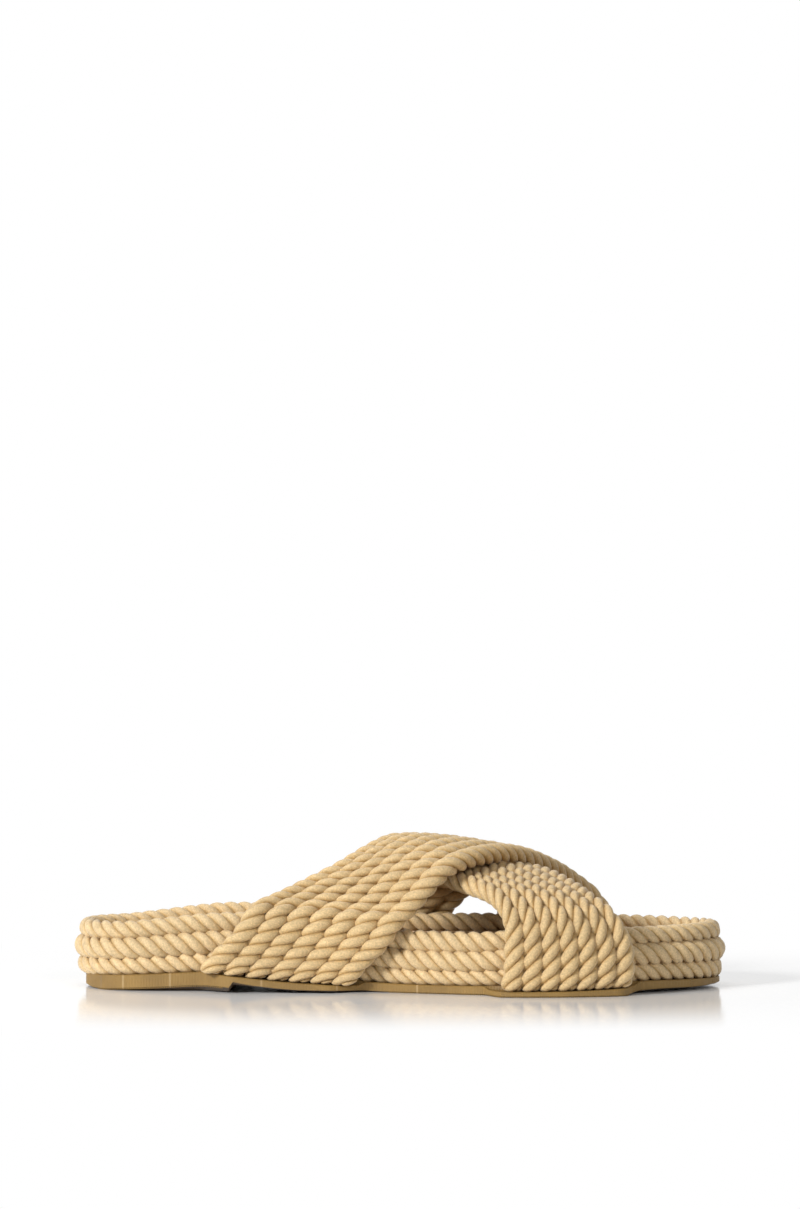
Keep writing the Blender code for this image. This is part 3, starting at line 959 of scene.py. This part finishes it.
def floor_finish():
    """Polished white floor that turns pure white and loses its polish away from the shoe."""
    material, tree, shader = new_finish("white floor", roughness=0.12)
    link = tree.links.new
    shader.inputs["Base Color"].default_value = FLOOR_WHITE
    stretch = node_of(tree, "ShaderNodeMapping")
    stretch.inputs["Scale"].default_value = FLOOR_STRETCH
    link(own_place(tree), stretch.inputs["Vector"])
    distance = node_of(tree, "ShaderNodeVectorMath", operation="LENGTH")
    link(stretch.outputs[0], distance.inputs[0])
    away = distance.outputs["Value"]
    polish = stretched(tree, away, 0.75, 0.0, start=1.0, end=2.7, way="SMOOTHSTEP")
    link(polish, shader.inputs["Specular IOR Level"])
    white = node_of(tree, "ShaderNodeEmission")
    white.inputs["Color"].default_value = PURE_WHITE
    link(stretched(tree, seen_directly(tree), FLOOR_GLOW, 1.0, start=0.0, end=1.0), white.inputs["Strength"])
    far = stretched(tree, away, 0.0, 1.0, start=1.2, end=2.9, way="SMOOTHSTEP")
    link(mixed_shader(tree, far, shader, white), tree.nodes["Material Output"].inputs["Surface"])
    return material


def studio_floor():
    floor = bmesh.new()
    bmesh.ops.create_grid(floor, x_segments=1, y_segments=1, size=FLOOR_SIZE)
    mesh = bpy.data.meshes.new("studio floor")
    floor.to_mesh(mesh)
    floor.free()
    piece = bpy.data.objects.new("studio_floor", mesh)
    bpy.context.scene.collection.objects.link(piece)
    mesh.materials.append(floor_finish())


def soft_light(name, place, aim, size, power):
    light = bpy.data.lights.new(name, "AREA")
    light.shape = "RECTANGLE"
    light.size, light.size_y = size
    light.energy = power
    lamp = bpy.data.objects.new(name, light)
    bpy.context.scene.collection.objects.link(lamp)
    lamp.location = place
    lamp.rotation_euler = (Vector(aim) - Vector(place)).to_track_quat("-Z", "Y").to_euler()


def studio():
    """White room: a dim world that looks pure white, the floor and three soft lights."""
    world = bpy.data.worlds.new("white studio")
    world.use_nodes = True
    tree = world.node_tree
    sky = tree.nodes["Background"]
    sky.inputs["Color"].default_value = PURE_WHITE
    sky.inputs["Strength"].default_value = WORLD_STRENGTH
    seen = node_of(tree, "ShaderNodeBackground")
    seen.inputs["Color"].default_value = PURE_WHITE
    seen.inputs["Strength"].default_value = 1.0
    mix = mixed_shader(tree, seen_directly(tree), sky, seen)
    tree.links.new(mix, tree.nodes["World Output"].inputs["Surface"])
    bpy.context.scene.world = world
    bpy.context.scene.view_settings.view_transform = "Standard"
    studio_floor()
    for light in LIGHTS:
        soft_light(*light)


def camera():
    lens = bpy.data.cameras.new("camera")
    lens.sensor_fit = "HORIZONTAL"
    lens.sensor_width = SENSOR_WIDTH
    lens.lens = SENSOR_WIDTH * FOCAL_LENGTH / FRAME_WIDTH
    lens.clip_end = 50
    rise = math.radians(CAMERA_RISE)
    aim = math.atan2(AIM_ABOVE, AIM_AHEAD)
    eye = bpy.data.objects.new("camera", lens)
    bpy.context.scene.collection.objects.link(eye)
    eye.location = (0.0, -CAMERA_DISTANCE * math.cos(rise), CAMERA_DISTANCE * math.sin(rise))
    eye.rotation_euler = (math.pi / 2 - rise + aim, 0.0, 0.0)
    bpy.context.scene.camera = eye


camera()
studio()

strap_straw = rope_finish("strap rope", *SHADED_STRAP_STRAW)
wall_straw = rope_finish("wall rope", *WALL_STRAW)

build_strap("strap_under_ropes", "under", UNDER_STRAP_LAY, strap_straw, "upper")
build_strap("strap_over_ropes", "over", OVER_STRAP_LAY, strap_straw, "upper")
build_course("wall_rope_lower", 0, wall_straw, "rope_lower", "rope_lower")
build_course("wall_rope_middle", 1, wall_straw, "rope_middle", "rope_middle")
build_course("wall_rope_upper", 2, wall_straw, "rope_upper", "rope_upper")

rubber = rubber_finish()
build_outsole(rubber)
build_tread_teeth(rubber)
build_footbed(lining_finish())
build_stitches(thread_finish())
